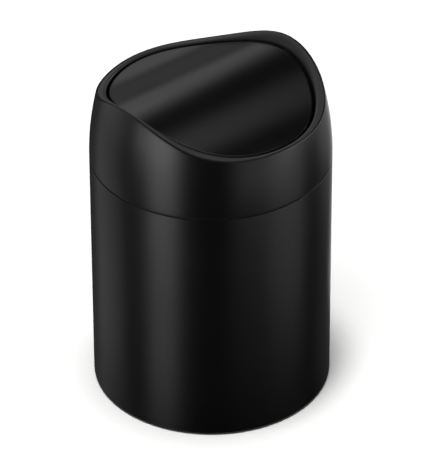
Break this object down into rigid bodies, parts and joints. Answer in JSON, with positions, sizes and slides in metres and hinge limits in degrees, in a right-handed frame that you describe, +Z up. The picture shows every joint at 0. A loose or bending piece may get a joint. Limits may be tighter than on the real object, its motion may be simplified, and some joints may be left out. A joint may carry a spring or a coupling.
{
  "type": "countertop trash can with swing lid",
  "caption": "Small round countertop trash can with a straight body, a drawn-in lift-off collar with a wave-shaped rim and an arched oval swing flap.",
  "frame": {"origin": "middle of the footprint on the worktop", "axes": "+Z up; X runs along the ridge of the lid, which is the flap's axis; the front is -Y"},
  "size_m": [0.127, 0.127, 0.1847],
  "materials": {
    "coated_steel": "black satin powder coat over steel sheet",
    "flap_steel": "black satin powder coat over steel sheet",
    "pan_steel": "zinc-coated sheet",
    "black_moulding": "moulded ABS, fine matt",
    "dark_moulding": "moulded polypropylene, matt",
    "pad_rubber": "soft elastomer",
    "screw_steel": "zinc-plated",
    "pin_steel": "ground steel",
    "bush_acetal": "moulded acetal, black",
    "bar_steel": "sawn mild steel bar",
    "bond": "foam bonding strip"
  },
  "bodies": {
    "can": {"body_shell": "coated_steel", "floor_pan": "pan_steel", "base_cap": "dark_moulding", "foot_pads": "pad_rubber", "neck_ring": "black_moulding"},
    "collar": {"collar_skin": "coated_steel", "collar_frame": "black_moulding", "locating_ring": "dark_moulding", "collar_screws": "screw_steel", "pivot_bush_left": "bush_acetal", "pivot_bush_right": "bush_acetal", "stop_bumpers": "pad_rubber"},
    "flap": {"flap_skin": "flap_steel", "flap_bonding_strips": "bond", "flap_tray": "dark_moulding", "pivot_pin_left": "pin_steel", "pivot_pin_right": "pin_steel", "ballast_bar": "bar_steel", "ballast_cover": "dark_moulding", "ballast_screws": "screw_steel"}
  },
  "joints": [
    {"name": "collar_lift", "type": "slide", "parent": "can", "child": "collar", "axis": [0, 0, 1], "range_m": [0, 0.08]},
    {"name": "flap_swing", "type": "hinge", "parent": "collar", "child": "flap", "pos_m": [0, 0, 0.1744], "axis": [1, 0, 0], "range_deg": [-76, 76]}
  ]
}
